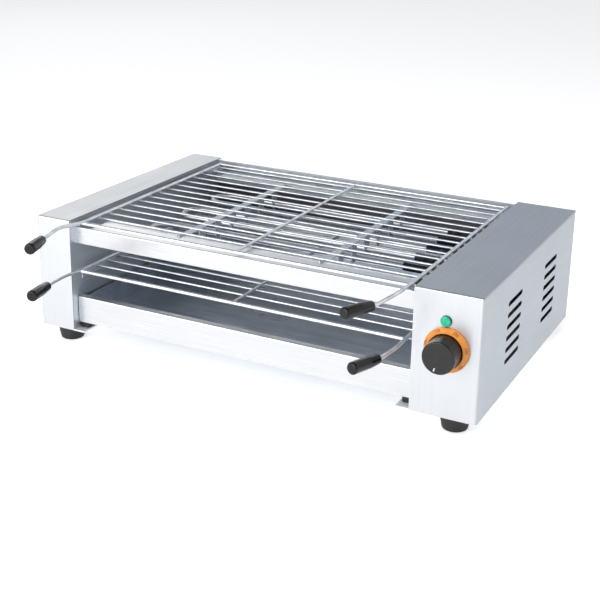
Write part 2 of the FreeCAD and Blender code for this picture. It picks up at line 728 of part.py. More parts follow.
def comb(x):
    """Strip between the two shelves, with a holed tongue for each element leg."""
    front = FACE_Y + CROSS_SHELF - COMB_LAP
    shelf = PANEL_Y - CROSS_SHELF
    foot_top = REAR_SHELF_Z + SHEET
    x1 = x + COMB_W / 2
    x0 = x1 - SHEET
    points = [V(x1, front, COMB_Z), V(x1, shelf - 2 * SHEET, COMB_Z),
              V(x1, shelf - 2 * SHEET, foot_top), V(x1, shelf + COMB_FOOT, foot_top)]
    strip = fold(points, V(-COMB_W, 0, 0), SHEET, 0)
    tongues = []
    for y in leg_places():
        plate = box(x0, x1, y - TONGUE_R, y + TONGUE_R, ELEMENT_Z, COMB_Z - SHEET)
        tongues.append(plate)
        tongues.append(cylinder(V(x0, y, ELEMENT_Z), V(1, 0, 0), TONGUE_R, SHEET))
    shape = join([strip] + tongues)
    legs = [(V(x0 - SHEET, y, ELEMENT_Z), V(1, 0, 0)) for y in leg_places()]
    shape = bored(shape, legs, ELEMENT_R + HOLE_GAP, 3 * SHEET)
    screws = [(V(x, comb_lap_y(), COMB_Z - 2 * SHEET), V(0, 0, 1)),
              (V(x, comb_foot_y(), foot_top - 2 * SHEET), V(0, 0, 1))]
    return bored(shape, screws, SCREW_R + HOLE_GAP, 3 * SHEET)


def elements():
    tip_x = LEFT_WALL + TIP_IN + ELEMENT_R
    end_x = RIGHT_WALL + TAIL
    legs = leg_places()
    for name, front_y, rear_y in zip(("front", "middle", "rear"), legs[::2], legs[1::2]):
        path = [V(end_x, front_y, ELEMENT_Z), V(tip_x, front_y, ELEMENT_Z),
                V(tip_x, rear_y, ELEMENT_Z), V(end_x, rear_y, ELEMENT_Z)]
        save(f"{name}_element", rod(path, ELEMENT_R, LEG_PITCH / 2))
    right = V(1, 0, 0)
    head_x = RIGHT_WALL - BUSH_HEAD
    sleeves = []
    bushes = []
    nuts = []
    terminals = []
    for y in legs:
        sleeve_x = RIGHT_WALL - SLEEVE_END
        sleeve = cylinder(V(sleeve_x, y, ELEMENT_Z), right, SLEEVE_R, head_x - sleeve_x)
        sleeves.append(sleeve.cut(cylinder(V(sleeve_x, y, ELEMENT_Z), right, ELEMENT_R, SPAN)))
        head = hexagon(V(head_x, y, ELEMENT_Z), right, BUSH_FLATS, BUSH_HEAD)
        thread = cylinder(V(head_x, y, ELEMENT_Z), right, BUSH_R, BUSH_HEAD + SHEET + BUSH_THREAD)
        bush = join([head, thread])
        bushes.append(bush.cut(cylinder(V(head_x, y, ELEMENT_Z), right, ELEMENT_R, SPAN)))
        seat = V(RIGHT_WALL + SHEET, y, ELEMENT_Z)
        nuts.append(nut(seat, right, BUSH_NUT_FLATS, NUT_T, BUSH_R))
        bead = cylinder(V(end_x, y, ELEMENT_Z), right, BEAD_R, BEAD_H)
        pin = cylinder(V(end_x, y, ELEMENT_Z), right, PIN_R, BEAD_H + PIN_H)
        terminals.append(join([bead, pin]))
    save("element_sleeves", *sleeves)
    save("element_bushes", *bushes)
    save("element_nuts", *nuts)
    save("element_terminals", *terminals)


def link_x():
    """Face of the element beads, which the link bars lie against."""
    return RIGHT_WALL + TAIL + BEAD_H


def link_bar(legs, up):
    """Copper bar that joins every other element leg; up is 1 above the legs, -1 below."""
    x = link_x()
    middle = ELEMENT_Z + up * LINK_OFF
    start = min(legs) - LINK_PAST
    end = max(legs) + LINK_PAST
    bar = box(x, x + LINK_T, start, end, middle - LINK_W / 2, middle + LINK_W / 2)
    tabs = []
    for y in legs:
        low, high = sorted((middle, ELEMENT_Z - up * BEAD_R))
        tabs.append(box(x, x + LINK_T, y - BEAD_R, y + BEAD_R, low, high))
    bar = join([bar] + tabs)
    holes = [(V(x - LINK_T, y, ELEMENT_Z), V(1, 0, 0)) for y in legs]
    return bored(bar, holes, PIN_R + HOLE_GAP, 3 * LINK_T)


def links():
    legs = leg_places()
    save("live_link_bar", link_bar(legs[::2], 1))
    save("neutral_link_bar", link_bar(legs[1::2], -1))
    seat_x = link_x() + LINK_T
    save("terminal_nuts", *[
        nut(V(seat_x, y, ELEMENT_Z), V(1, 0, 0), SMALL_NUT_FLATS, SMALL_NUT_T, PIN_R)
        for y in legs])


# Grates

def stepped(point, side, step):
    """Point moved forward, inward and up."""
    forward, inward, up = step
    return point + V(-side.out * inward, -forward, up)


def rod_front(grate, side):
    """Where a side rod meets the front wire."""
    return V(side_x(side, -ROD_IN), grate.front, grate.rod_z)


def grip_start(grate, side):
    return stepped(rod_front(grate, side), side, grate.arm)


def grip_end(grate, side):
    """Point on a grip's axis where the rounding of its end begins."""
    return stepped(grip_start(grate, side), side, grate.grip)


def side_rod(grate, side):
    """Side rod of a grate with the arm that runs forward into the grip."""
    front = rod_front(grate, side)
    start = grip_start(grate, side)
    way = (grip_end(grate, side) - start).normalize()
    rear = V(front.x, grate.last + REAR_WIRE + ROD_R, front.z)
    points = [rear, front, stepped(front, side, grate.bow), start - way * BEND_TO_GRIP,
              start + way * GRIP_HOLD]
    return rod(points, ROD_R, ARM_BEND)


def grip(grate, side):
    """Plastic grip moulded over the wire: it swells from its shoulder and ends flat."""
    start = grip_start(grate, side)
    way = grip_end(grate, side) - start
    length = way.Length + GRIP_RIM
    way.normalize()
    swell = Part.makeCone(GRIP_THIN, GRIP_THICK, GRIP_SWELL, start, way)
    barrel = cylinder(start + way * GRIP_SWELL, way, GRIP_THICK, length - GRIP_SWELL)
    body = join([swell, barrel])
    for place, rounding in ((start, GRIP_SHOULDER), (start + way * length, GRIP_RIM)):
        edge = [e for e in body.Edges if e.CenterOfMass.distanceToPoint(place) < TOUCH]
        body = body.makeFillet(rounding, edge)
    return body.cut(cylinder(start, way, ROD_R, GRIP_HOLD))


def grate_middle(grate, rods):
    """Frame wires, middle rod and cross wires, welded into one piece."""
    left_x = side_x(LEFT, -ROD_IN)
    right_x = side_x(RIGHT, -ROD_IN)
    width = right_x - left_x
    right = V(1, 0, 0)
    rear_y = grate.last + REAR_WIRE
    frame = [cylinder(V(left_x, y, grate.rod_z), right, ROD_R, width)
             for y in (grate.front, rear_y)]
    wire_z = grate.rod_z - ROD_R - WIRE_R
    pitch = (grate.last - grate.first) / (WIRE_COUNT - 1)
    wires = []
    for index in range(WIRE_COUNT):
        start = V(left_x - ROD_R - WIRE_PAST, grate.first + index * pitch, wire_z)
        wires.append(cylinder(start, right, WIRE_R, width + 2 * (ROD_R + WIRE_PAST)))
    middle_z = wire_z + WIRE_R - WELD + MID_ROD_R
    middle = cylinder(V(MID_X, grate.front, middle_z), V(0, 1, 0), MID_ROD_R,
                      rear_y - grate.front)
    ends = [wire.cut(Part.makeCompound(rods)) for wire in frame]
    return join([middle] + ends + wires)


def grates():
    for grate in GRATES:
        rods = [side_rod(grate, side) for side in SIDES]
        save(f"{grate.name}_grate", grate_middle(grate, rods))
        save(f"{grate.name}_side_rods", *rods)
        for side in SIDES:
            save(f"{grate.name}_{side.name}_grip", grip(grate, side))


# Drip tray

def tray():
    low = BASE_Z + TRAY_UP
    left = LEFT_WALL + TRAY_GAP
    right = RIGHT_WALL - TRAY_GAP
    top = low + TRAY_FRONT_H
    points = [V(right, FACE_Y, low), V(right, FACE_Y, top),
              V(right, FACE_Y + TRAY_FRONT_RETURN, top)]
    save("tray_front", fold(points, V(left - right, 0, 0)))
    x0 = LEFT_WALL + PAN_GAP
    x1 = RIGHT_WALL - PAN_GAP
    y0 = FACE_Y + SHEET
    y1 = PANEL_Y - PAN_REAR_GAP
    outer = box(x0, x1, y0, y1, low, low + PAN_H)
    corners = [(V(x, y, low), V(x, y, low + PAN_H)) for x in (x0, x1) for y in (y0, y1)]
    outer = outer.makeFillet(PAN_CORNER, edges_between(outer, corners))
    inner = box(x0 + SHEET, x1 - SHEET, y0 + SHEET, y1 - SHEET, low + SHEET, low + PAN_H)
    corners = [(V(x, y, low + SHEET), V(x, y, low + PAN_H))
               for x in (x0 + SHEET, x1 - SHEET) for y in (y0 + SHEET, y1 - SHEET)]
    inner = inner.makeFillet(PAN_CORNER - SHEET, edges_between(inner, corners))
    save("drip_tray", outer.cut(inner))
    inner_edge = -RUNNER_IN - RUNNER_W
    save("tray_runners", *[
        side_box(side, inner_edge, -RUNNER_IN, y0, y1 - PAN_CORNER, DECK_Z, low)
        for side in SIDES])


# Controls

def panel_point(x, z, out=0.0):
    """Point on the front of the right housing, or out in front of it."""
    return V(x, FRONT_Y - out, z)


def dial_screw_places(out):
    return [panel_point(DIAL_X + dx, DIAL_Z, out) for dx in (-DIAL_SCREW_OUT, DIAL_SCREW_OUT)]


def panel_holes():
    """Holes in the control panel: shaft, two thermostat screws and pilot barrel."""
    inward = V(0, 1, 0)
    tools = [cylinder(panel_point(DIAL_X, DIAL_Z, SHEET), inward, 2 * SHAFT_R, 3 * SHEET),
             cylinder(panel_point(PILOT_X, PILOT_Z, SHEET), inward, BARREL_R + HOLE_GAP, 3 * SHEET)]
    for place in dial_screw_places(SHEET):
        tools.append(cylinder(place, inward, SCREW_R + HOLE_GAP, 3 * SHEET))
    return Part.makeCompound(tools)


def thermostat():
    width, depth, height = THERMOSTAT
    front = FRONT_Y + SHEET
    body = box(DIAL_X - width / 2, DIAL_X + width / 2, front, front + depth,
               DIAL_Z - height / 2, DIAL_Z + height / 2)
    corners = [e for e in body.Edges if abs(e.tangentAt(0).y) > 0.9]
    body = body.makeFillet(THERMOSTAT_CORNER, corners)
    inward = V(0, 1, 0)
    body = body.cut(cylinder(V(DIAL_X, front, DIAL_Z), inward, SHAFT_R + SHAFT_GAP, depth / 2))
    holes = [(V(p.x, front, p.z), inward) for p in dial_screw_places(0.0)]
    return bored(body, holes, SCREW_R, 2 * SCREW_TIP + SHEET)


def shaft(radius, start, end):
    """Round shaft with a flat along its lower side."""
    bar = cylinder(V(DIAL_X, start, DIAL_Z), V(0, 1, 0), radius, end - start)
    flat = box(DIAL_X - radius, DIAL_X + radius, start, FRONT_Y - BEZEL_FLOOR - KNOB_GAP,
               DIAL_Z - radius, DIAL_Z - radius + SHAFT_FLAT)
    return bar.cut(flat)


def knob(spindle, pointer):
    """Hollow knob with a hub, open at the back to clear the screw heads."""
    back = BEZEL_FLOOR + KNOB_GAP
    start = panel_point(DIAL_X, DIAL_Z, back)
    height = KNOB_OUT - back
    profile = [(0, 0), (KNOB_R, 0), (KNOB_FACE_R, height), (0, height)]
    body = turned(profile, start, V(0, -1, 0))
    rims = [e for e in body.Edges if len(e.Vertexes) == 1
            and abs(e.BoundBox.YMin - (FRONT_Y - KNOB_OUT)) < TOUCH]
    body = body.makeFillet(KNOB_ROUND, rims)
    taper = (KNOB_R - KNOB_FACE_R) / height
    depth = height - 2 * KNOB_WALL
    inner = KNOB_R - KNOB_WALL
    hollow = turned([(HUB_R, 0), (inner, 0), (inner - taper * depth, depth), (HUB_R, depth)],
                    start, V(0, -1, 0))
    return body.cut(hollow).cut(spindle).cut(pointer)


def pointer():
    """White mark let into the knob face."""
    top = KNOB_FACE_R - POINTER_IN
    bar = box(DIAL_X - POINTER_W / 2, DIAL_X + POINTER_W / 2, FRONT_Y - KNOB_OUT,
              FRONT_Y - KNOB_OUT + POINTER_T, DIAL_Z - top, DIAL_Z - top + POINTER_L)
    bar.rotate(V(DIAL_X, 0, DIAL_Z), V(0, 1, 0), POINTER_ANGLE)
    return bar


def bezel():
    """Dial ring with a sloping face, and the disc that its screws hold."""
    inner = KNOB_R + KNOB_GAP
    profile = [(2 * SHAFT_R, 0), (BEZEL_R, 0), (BEZEL_R, BEZEL_EDGE), (inner + BEZEL_LIP, BEZEL_H),
               (inner, BEZEL_H), (inner, BEZEL_FLOOR), (2 * SHAFT_R, BEZEL_FLOOR)]
    ring = turned(profile, panel_point(DIAL_X, DIAL_Z), V(0, -1, 0))
    holes = [(place, V(0, 1, 0)) for place in dial_screw_places(BEZEL_H)]
    return bored(ring, holes, SCREW_R + HOLE_GAP, 2 * BEZEL_H)


def pilot_light():
    inward = V(0, 1, 0)
    rim = cylinder(panel_point(PILOT_X, PILOT_Z, PILOT_RIM), inward, PILOT_R, PILOT_RIM)
    barrel = cylinder(panel_point(PILOT_X, PILOT_Z, PILOT_RIM), inward, BARREL_R,
                      PILOT_RIM + BARREL_L)
    body = join([rim, barrel])
    seat = PILOT_RIM / 2
    lens = cylinder(panel_point(PILOT_X, PILOT_Z, seat), V(0, -1, 0), LENS_R, LENS_OUT)
    rims = [e for e in lens.Edges if len(e.Vertexes) == 1
            and abs(e.BoundBox.YMin - (FRONT_Y - seat - LENS_OUT)) < TOUCH]
    lens = lens.makeFillet(LENS_ROUND, rims)
    save("pilot_lens", lens)
    save("pilot_body", body.cut(lens))
    seat = V(PILOT_X, FRONT_Y + SHEET, PILOT_Z)
    save("pilot_nut", nut(seat, inward, BARREL_FLATS, SMALL_NUT_T, BARREL_R))


def controls():
    save("thermostat_body", thermostat())
    end = FRONT_Y + SHEET + THERMOSTAT[1] / 2 - SHEET
    spindle = shaft(SHAFT_R, FRONT_Y - KNOB_OUT + SHAFT_SHORT, end)
    save("thermostat_shaft", spindle)
    mark = pointer()
    save("knob_pointer", mark)
    save("knob", knob(spindle, mark))
    save("dial_bezel", bezel())
    pilot_light()


# Sensor, terminals and wiring inside the right housing

def bulb_z():
    return BASE_Z + BULB_UP


def bulb_entry_y():
    """Where the capillary tube passes the wall, between two element legs."""
    return -2 * LEG_PITCH


def sensor():
    x = RIGHT_WALL - BULB_IN
    z = bulb_z()
    start = V(x, -BULB_L / 2, z)
    bulb = cylinder(start, V(0, 1, 0), BULB_R, BULB_L)
    save("sensor_bulb", bulb)
    clips = []
    reach = BULB_L / 2 - CLIP_IN
    for y in (-reach, reach):
        clip = box(x - BULB_R - SHEET, RIGHT_WALL, y - BULB_CLIP / 2, y + BULB_CLIP / 2,
                   z - BULB_R - SHEET, z + BULB_R + SHEET)
        clips.append(clip.cut(bulb))
    save("sensor_clips", *clips)
    back = FRONT_Y + SHEET + THERMOSTAT[1]
    entry = bulb_entry_y()
    top = DIAL_Z + THERMOSTAT[2] / 4
    tube_x = DIAL_X - TUBE_OFF
    path = [V(tube_x, back, top), V(tube_x, back + WIRE_RUN / 2, top),
            V(tube_x, entry, z), V(x, entry, z), start]
    save("capillary_tube", rod(path, TUBE_R, WIRE_BEND))


def block_poles():
    """X of the three poles of the terminal block, which lies in line with the gland."""
    return [RIGHT_WALL + GLAND_IN + POLE_PITCH * i for i in (-1, 0, 1)]


def block_front():
    return leg_places()[-1] + BLOCK_GAP


def terminal_block():
    """Block for the supply cord's three cores, with its screws."""
    width, depth, height = BLOCK
    poles = block_poles()
    front = block_front()
    top = DECK_Z + height
    block = box(poles[1] - width / 2, poles[1] + width / 2, front, front + depth, DECK_Z, top)
    seats = [V(x, front + depth / 2, top) for x in poles]
    holes = [(seat, V(0, 0, -1)) for seat in seats]
    save("terminal_block", bored(block, holes, SCREW_R, POLE_DEPTH))
    save("terminal_screws", *[screw(seat, V(0, 0, -1), POLE_DEPTH) for seat in seats])


def earth_stud():
    place = V(RIGHT_WALL + EARTH_IN, block_front() - EARTH_AHEAD, DECK_Z)
    stud = cylinder(place, V(0, 0, 1), EARTH_R, EARTH_H)
    collar = cylinder(place + V(0, 0, EARTH_H / 3), V(0, 0, 1), 2 * EARTH_R, EARTH_H / 2)
    return join([stud, collar])


def wiring():
    """Insulated wires from the terminal block to the thermostat, elements and pilot light."""
    poles = block_poles()
    start_y = block_front()
    pole_z = DECK_Z + BLOCK[2] / 2
    switch_y = FRONT_Y + SHEET + THERMOSTAT[1]
    switch_z = DIAL_Z - THERMOSTAT[2] / 4
    switch_in = DIAL_X - THERMOSTAT[0] / 4
    switch_out = DIAL_X + THERMOSTAT[0] / 4
    bar_x = link_x() + LINK_T
    live_z = ELEMENT_Z + LINK_OFF
    neutral_z = ELEMENT_Z - LINK_OFF
    legs = leg_places()
    side_x0 = WIDTH / 2 - WIRE_OFF_SIDE
    side_z = pole_z + WIRE_RISE
    live = [V(poles[0], start_y, pole_z), V(poles[0], start_y - WIRE_RUN, pole_z),
            V(side_x0, start_y - 2 * WIRE_RUN, side_z), V(side_x0, switch_y + 2 * WIRE_RUN, side_z),
            V(switch_in, switch_y + WIRE_RUN, switch_z), V(switch_in, switch_y, switch_z)]
    switched = [V(switch_out, switch_y, switch_z), V(switch_out, switch_y + WIRE_RUN, switch_z),
                V(DIAL_X, legs[0] - LINK_PAST / 2, live_z), V(bar_x, legs[0] - LINK_PAST / 2, live_z)]
    neutral = [V(poles[1], start_y, pole_z), V(poles[1], legs[-1] + LINK_PAST / 2, pole_z),
               V(poles[1], legs[-1] + LINK_PAST / 2, neutral_z),
               V(bar_x, legs[-1] + LINK_PAST / 2, neutral_z)]
    stud = earth_stud()
    stud_x = RIGHT_WALL + EARTH_IN
    earth = [V(poles[2], start_y, pole_z), V(poles[2], start_y - WIRE_RUN / 2, pole_z),
             V(stud_x, start_y - EARTH_AHEAD, pole_z)]
    pilot_y = FRONT_Y + BARREL_L
    leads = []
    for across, leg_y, bar_z in ((-PILOT_PIN, legs[0], live_z), (PILOT_PIN, legs[1], neutral_z)):
        x = PILOT_X + across
        end_y = leg_y - LINK_PAST + 2 * PILOT_WIRE_R
        path = [V(x, pilot_y, PILOT_Z), V(x, pilot_y + WIRE_RUN, PILOT_Z), V(x, end_y, bar_z),
                V(bar_x, end_y, bar_z)]
        leads.append(rod(path, PILOT_WIRE_R, WIRE_BEND / 2))
    save("live_wires", rod(live, CORE_R, WIRE_BEND), rod(switched, CORE_R, WIRE_BEND), leads[0])
    save("neutral_wires", rod(neutral, CORE_R, WIRE_BEND), leads[1])
    save("earth_wire", rod(earth, CORE_R, WIRE_BEND).cut(stud))
    save("earth_stud", stud)


def insulation_board():
    """Mineral board on the hidden side of the right inner wall, holed for the rivets."""
    top = ELEMENT_Z - BUSH_NUT_FLATS / math.sqrt(3) - BOARD_GAP
    board = side_box(RIGHT, SHEET, SHEET + BOARD_T, FRONT_Y + BOARD_MARGIN, BACK_Y - BOARD_MARGIN,
                     top - BOARD_H, top)
    holes = [(place, V(1, 0, 0)) for place in ledge_rivet_places(RIGHT)]
    save("insulation_board", bored(board, holes, RIVET_R + HOLE_GAP, 2 * BOARD_T))


def gland_place(out):
    return V(RIGHT_WALL + GLAND_IN, BACK_Y + out, BASE_Z + GLAND_UP)


def cable_gland():
    """Gland for the supply cord: hexagon and dome outside, thread and lock nut inside."""
    out = V(0, 1, 0)
    seat = gland_place(0)
    hexed = hexagon(seat, out, GLAND_FLATS, GLAND_HEX)
    dome = cylinder(gland_place(GLAND_HEX), out, GLAND_DOME_R, GLAND_DOME)
    rim = [e for e in dome.Edges if len(e.Vertexes) == 1
           and abs(e.BoundBox.YMax - (BACK_Y + GLAND_HEX + GLAND_DOME)) < TOUCH]
    dome = dome.makeFillet(GLAND_ROUND, rim)
    thread = cylinder(seat - out * GLAND_THREAD, out, GLAND_THREAD_R, GLAND_THREAD)
    body = join([hexed, dome, thread])
    length = GLAND_THREAD + GLAND_HEX + GLAND_DOME
    save("cable_gland", body.cut(cylinder(seat - out * GLAND_THREAD, out, GLAND_BORE_R, length)))
    save("gland_nut", nut(gland_place(-SHEET), V(0, -1, 0), GLAND_FLATS, GLAND_NUT, GLAND_THREAD_R))


housings()
frame_fasteners()
save("front_crossbar", front_crossbar())
save("rear_crossbar", rear_crossbar())
save("rear_panel", rear_panel())
ledges()
save("element_combs", *[comb(x) for x in comb_places()])
elements()
links()
grates()
tray()
controls()
sensor()
terminal_block()
wiring()
insulation_board()
cable_gland()
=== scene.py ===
# %% [markdown]
# An electric kebab grill, dressed for a render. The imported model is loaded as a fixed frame:
# every rigid piece already has its real shape there, so this lesson is mostly about surfaces.
# Brushed steel, plated wire, moulded plastic and rubber are each built from small node trees,
# and a few fine details that are too small for the frame are added as meshes: the printed
# figures of the dial and the weld beads of the two grates.

# %% Load the frame
import math
import bmesh
import bpy
from mathutils import Matrix, Vector


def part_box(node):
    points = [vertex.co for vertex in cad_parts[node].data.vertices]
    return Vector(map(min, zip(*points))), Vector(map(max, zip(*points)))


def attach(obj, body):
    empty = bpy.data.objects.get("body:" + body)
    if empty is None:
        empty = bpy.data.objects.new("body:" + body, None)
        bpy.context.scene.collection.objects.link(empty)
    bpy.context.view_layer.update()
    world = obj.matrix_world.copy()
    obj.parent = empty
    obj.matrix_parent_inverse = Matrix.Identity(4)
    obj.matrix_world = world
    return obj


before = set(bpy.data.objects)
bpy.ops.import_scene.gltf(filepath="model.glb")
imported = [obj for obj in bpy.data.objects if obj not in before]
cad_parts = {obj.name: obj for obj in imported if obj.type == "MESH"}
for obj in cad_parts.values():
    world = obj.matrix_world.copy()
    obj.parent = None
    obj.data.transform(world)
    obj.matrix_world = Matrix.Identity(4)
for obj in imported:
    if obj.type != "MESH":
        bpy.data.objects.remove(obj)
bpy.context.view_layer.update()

MM = 0.001
print("nodes in the frame:", len(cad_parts))

# %% [markdown]
# The camera stands to the right and a little above, as a product photographer would place it
# to show the front, the top and the controls at once. Its place comes from the corners of the
# two housings: one lens and one place put all of them where the picture has them. The camera
# is tipped by one degree, and its lens is shifted, which sets the grill higher in the picture
# without turning the camera.

# %% Camera
AZIMUTH = math.radians(26.99)
ELEVATION = math.radians(18.38)
ROLL = math.radians(0.992)
DISTANCE = 1.6867                     # metres from the target
TARGET = Vector((-0.01807, 0.0531, 0.14018))
LENS = 70.66                          # focal length in millimetres
SHIFT_Y = -0.1                        # share of the picture's width; less than 0 lifts the grill


def aim_camera():
    """Camera at the picture's angle, with its lens and shift."""
    back = Vector((
        math.sin(AZIMUTH) * math.cos(ELEVATION),
        -math.cos(AZIMUTH) * math.cos(ELEVATION),
        math.sin(ELEVATION)))
    right = Vector((0, 0, 1)).cross(back).normalized()
    up = back.cross(right)
    tipped_right = right * math.cos(ROLL) + up * math.sin(ROLL)
    tipped_up = up * math.cos(ROLL) - right * math.sin(ROLL)
    lens = bpy.data.cameras.new("camera")
    lens.lens = LENS
    lens.shift_y = SHIFT_Y
    camera = bpy.data.objects.new("camera", lens)
    bpy.context.scene.collection.objects.link(camera)
    place = Matrix((tipped_right, tipped_up, back)).transposed().to_4x4()
    place.translation = TARGET + back * DISTANCE
    camera.matrix_world = place
    bpy.context.scene.camera = camera
    return place.translation


print("camera at", [round(value, 3) for value in aim_camera()])

# %% [markdown]
# Three helpers carry every material. A colour is written as the sRGB hex value that a colour
# picker shows, and the shader wants linear light, so the first turns one into the other. The
# second adds a single shader node, with its settings and with whatever feeds its sockets. The
# third starts a material. The steps that come up again and again, a product, a scaled sum and
# a mix of two colours, get short names of their own.

# %% Colour and node helpers
def linear(hex_colour):
    """Linear RGBA of an sRGB colour written as six hex digits."""
    channels = [int(hex_colour[i:i + 2], 16) / 255 for i in (0, 2, 4)]
    light = [c / 12.92 if c <= 0.04045 else ((c + 0.055) / 1.055) ** 2.4 for c in channels]
    return (*light, 1.0)


def add(tree, kind, settings=None, feeds=None):
    """A new node; each feed is a plain value or the output socket of another node."""
    node = tree.nodes.new(kind)
    for name, value in (settings or {}).items():
        setattr(node, name, value)
    for name, value in (feeds or {}).items():
        if isinstance(value, bpy.types.NodeSocket):
            tree.links.new(value, node.inputs[name])
        else:
            node.inputs[name].default_value = value
    return node


def start_material(name, hex_colour, metallic, roughness, **sockets):
    """Material with one Principled shader; returns the material, its tree and the shader."""
    material = bpy.data.materials.new(name)
    material.use_nodes = True
    tree = material.node_tree
    shader = tree.nodes["Principled BSDF"]
    shader.inputs["Base Color"].default_value = linear(hex_colour)
    shader.inputs["Metallic"].default_value = metallic
    shader.inputs["Roughness"].default_value = roughness
    for socket, value in sockets.items():
        title = socket.replace("_", " ").title().replace("Ior", "IOR")
        shader.inputs[title].default_value = value
    return material, tree, shader


def times(tree, first, second):
    """Product of two values."""
    return add(tree, "ShaderNodeMath", {"operation": "MULTIPLY"}, {0: first, 1: second}).outputs[0]


def scaled_sum(tree, value, factor, base):
    """base + factor * value."""
    return add(tree, "ShaderNodeMath", {"operation": "MULTIPLY_ADD"}, {
        0: value, 1: factor, 2: base}).outputs[0]


def mix_colours(tree, share, first, second):
    """The first colour at share 0, the second at share 1; each is RGBA or a socket."""
    mix = add(tree, "ShaderNodeMix", {"data_type": "RGBA"}, {0: share, 6: first, 7: second})
    return mix.outputs[2]


print("sRGB 808080 in linear light:", round(linear("808080")[0], 3))

# %% [markdown]
# Patterns are measured in millimetres on the object itself, so a scratch keeps its size on
# every piece. A noise texture makes all of them: stretched along one axis it is brushing, left
# round it is smudges or moulding grain. A map range turns it into a small change of roughness,
# and a mix turns it into a small change of colour.

# %% Pattern helpers
NOISE_LOW = 0.3                       # nearly all of a noise texture lies between these
NOISE_HIGH = 0.7


def pattern(tree, size_mm, detail=2.0, seed=0.0):
    """Noise whose features have the given sizes along X, Y and Z, in millimetres."""
    place = add(tree, "ShaderNodeTexCoord").outputs["Object"]
    scale = [1 / (size * MM) for size in size_mm]
    stretched = add(tree, "ShaderNodeMapping", feeds={"Vector": place, "Scale": scale,
                                                      "Location": (seed, seed, seed)})
    noise = add(tree, "ShaderNodeTexNoise", feeds={
        "Vector": stretched.outputs["Vector"], "Scale": 1.0, "Detail": detail})
    return noise.outputs["Fac"]


def spread(tree, value, low, high, from_low=NOISE_LOW, from_high=NOISE_HIGH):
    """The value mapped to run from low to high, and held there past its own ends."""
    return add(tree, "ShaderNodeMapRange", feeds={
        "Value": value, "From Min": from_low, "From Max": from_high,
        "To Min": low, "To Max": high}).outputs["Result"]


def blend_colours(tree, share, hex_low, hex_high):
    """Mix of two hex colours that follows a pattern."""
    return mix_colours(tree, share, linear(hex_low), linear(hex_high))


def raise_grain(tree, shader, height, strength, depth_mm):
    """Relief from a pattern, as deep as the real marks."""
    bump = add(tree, "ShaderNodeBump", feeds={
        "Height": height, "Strength": strength, "Distance": depth_mm * MM})
    tree.links.new(bump.outputs["Normal"], shader.inputs["Normal"])


# %% [markdown]
# The floor is one wide pale sheet that runs past the edge of the picture, so it is the backdrop
# too. It is a diffuse surface with a little light of its own: the two together look white, and
# the object's own soft shadow stays. The world above it is white round the horizon with a darker
# ceiling, and a grey-blue card stands behind the grill. Brushed steel only shows what it mirrors:
# the right housing's top mirrors the card and turns grey, and the left one mirrors the white
# beside it.

# %% Floor and studio
FLOOR_HALF = 30.0                     # metres
FLOOR_GLOW = 0.5
WHITE = "ffffff"
CEILING = "6f7b8b"
CEILING_FADE = (0.56, 0.76)           # height of the look, as its Z, over which the white ends
CARD = "a3b2c7"
CARD_LEFT = (-0.50, -0.38)            # fades of its edges, bearings in radians from straight back
CARD_RIGHT = (-0.02, 0.08)
CARD_FOOT = (0.06, 0.14)              # and, again as Z, of its foot and of its top
CARD_TOP = (0.42, 0.48)
FILL_STRENGTH = 0.6                   # light that the world throws on matt surfaces


def seen_directly(tree):
    """1 for camera, glossy and transmission rays, 0 for the rest."""
    path = add(tree, "ShaderNodeLightPath")
    either = add(tree, "ShaderNodeMath", {"operation": "MAXIMUM"}, {
        0: path.outputs["Is Camera Ray"], 1: path.outputs["Is Glossy Ray"]})
    return add(tree, "ShaderNodeMath", {"operation": "MAXIMUM"}, {
        0: either.outputs[0], 1: path.outputs["Is Transmission Ray"]}).outputs[0]


def lay_floor():
    """White sheet under and behind the grill."""
    mesh = bpy.data.meshes.new("floor")
    corners = [(-1, -1), (1, -1), (1, 1), (-1, 1)]
    mesh.from_pydata([(x * FLOOR_HALF, y * FLOOR_HALF, 0) for x, y in corners], [], [(0, 1, 2, 3)])
    floor = bpy.data.objects.new("floor", mesh)
    bpy.context.scene.collection.objects.link(floor)
    material, tree, shader = start_material("white_paper_floor", "f4f4f4", 0.0, 0.9)
    shader.inputs["Emission Color"].default_value = linear(WHITE)
    glow = times(tree, seen_directly(tree), FLOOR_GLOW)
    tree.links.new(glow, shader.inputs["Emission Strength"])
    mesh.materials.append(material)


def light_studio():
    """World: white round the horizon, a grey ceiling and a grey-blue card behind."""
    world = bpy.data.worlds.new("studio")
    bpy.context.scene.world = world
    world.use_nodes = True
    tree = world.node_tree
    tree.nodes.clear()
    way = add(tree, "ShaderNodeTexCoord").outputs["Generated"]
    parts = add(tree, "ShaderNodeSeparateXYZ", feeds={"Vector": way}).outputs
    height = parts["Z"]
    bearing = add(tree, "ShaderNodeMath", {"operation": "ARCTAN2"}, {
        0: parts["X"], 1: parts["Y"]}).outputs[0]
    ceiling = spread(tree, height, 0.0, 1.0, *CEILING_FADE)
    wide = times(tree, spread(tree, bearing, 0.0, 1.0, *CARD_LEFT),
                 spread(tree, bearing, 1.0, 0.0, *CARD_RIGHT))
    tall = times(tree, spread(tree, height, 0.0, 1.0, *CARD_FOOT),
                 spread(tree, height, 1.0, 0.0, *CARD_TOP))
    colour = blend_colours(tree, ceiling, WHITE, CEILING)
    colour = mix_colours(tree, times(tree, wide, tall), colour, linear(CARD))
    strength = spread(tree, seen_directly(tree), FILL_STRENGTH, 1.0, 0.0, 1.0)
    sky = add(tree, "ShaderNodeBackground", feeds={"Color": colour, "Strength": strength})
    add(tree, "ShaderNodeOutputWorld", feeds={"Surface": sky.outputs["Background"]})


lay_floor()
light_studio()
bpy.context.scene.view_settings.view_transform = "Standard"
print("floor:", 2 * FLOOR_HALF, "m across")

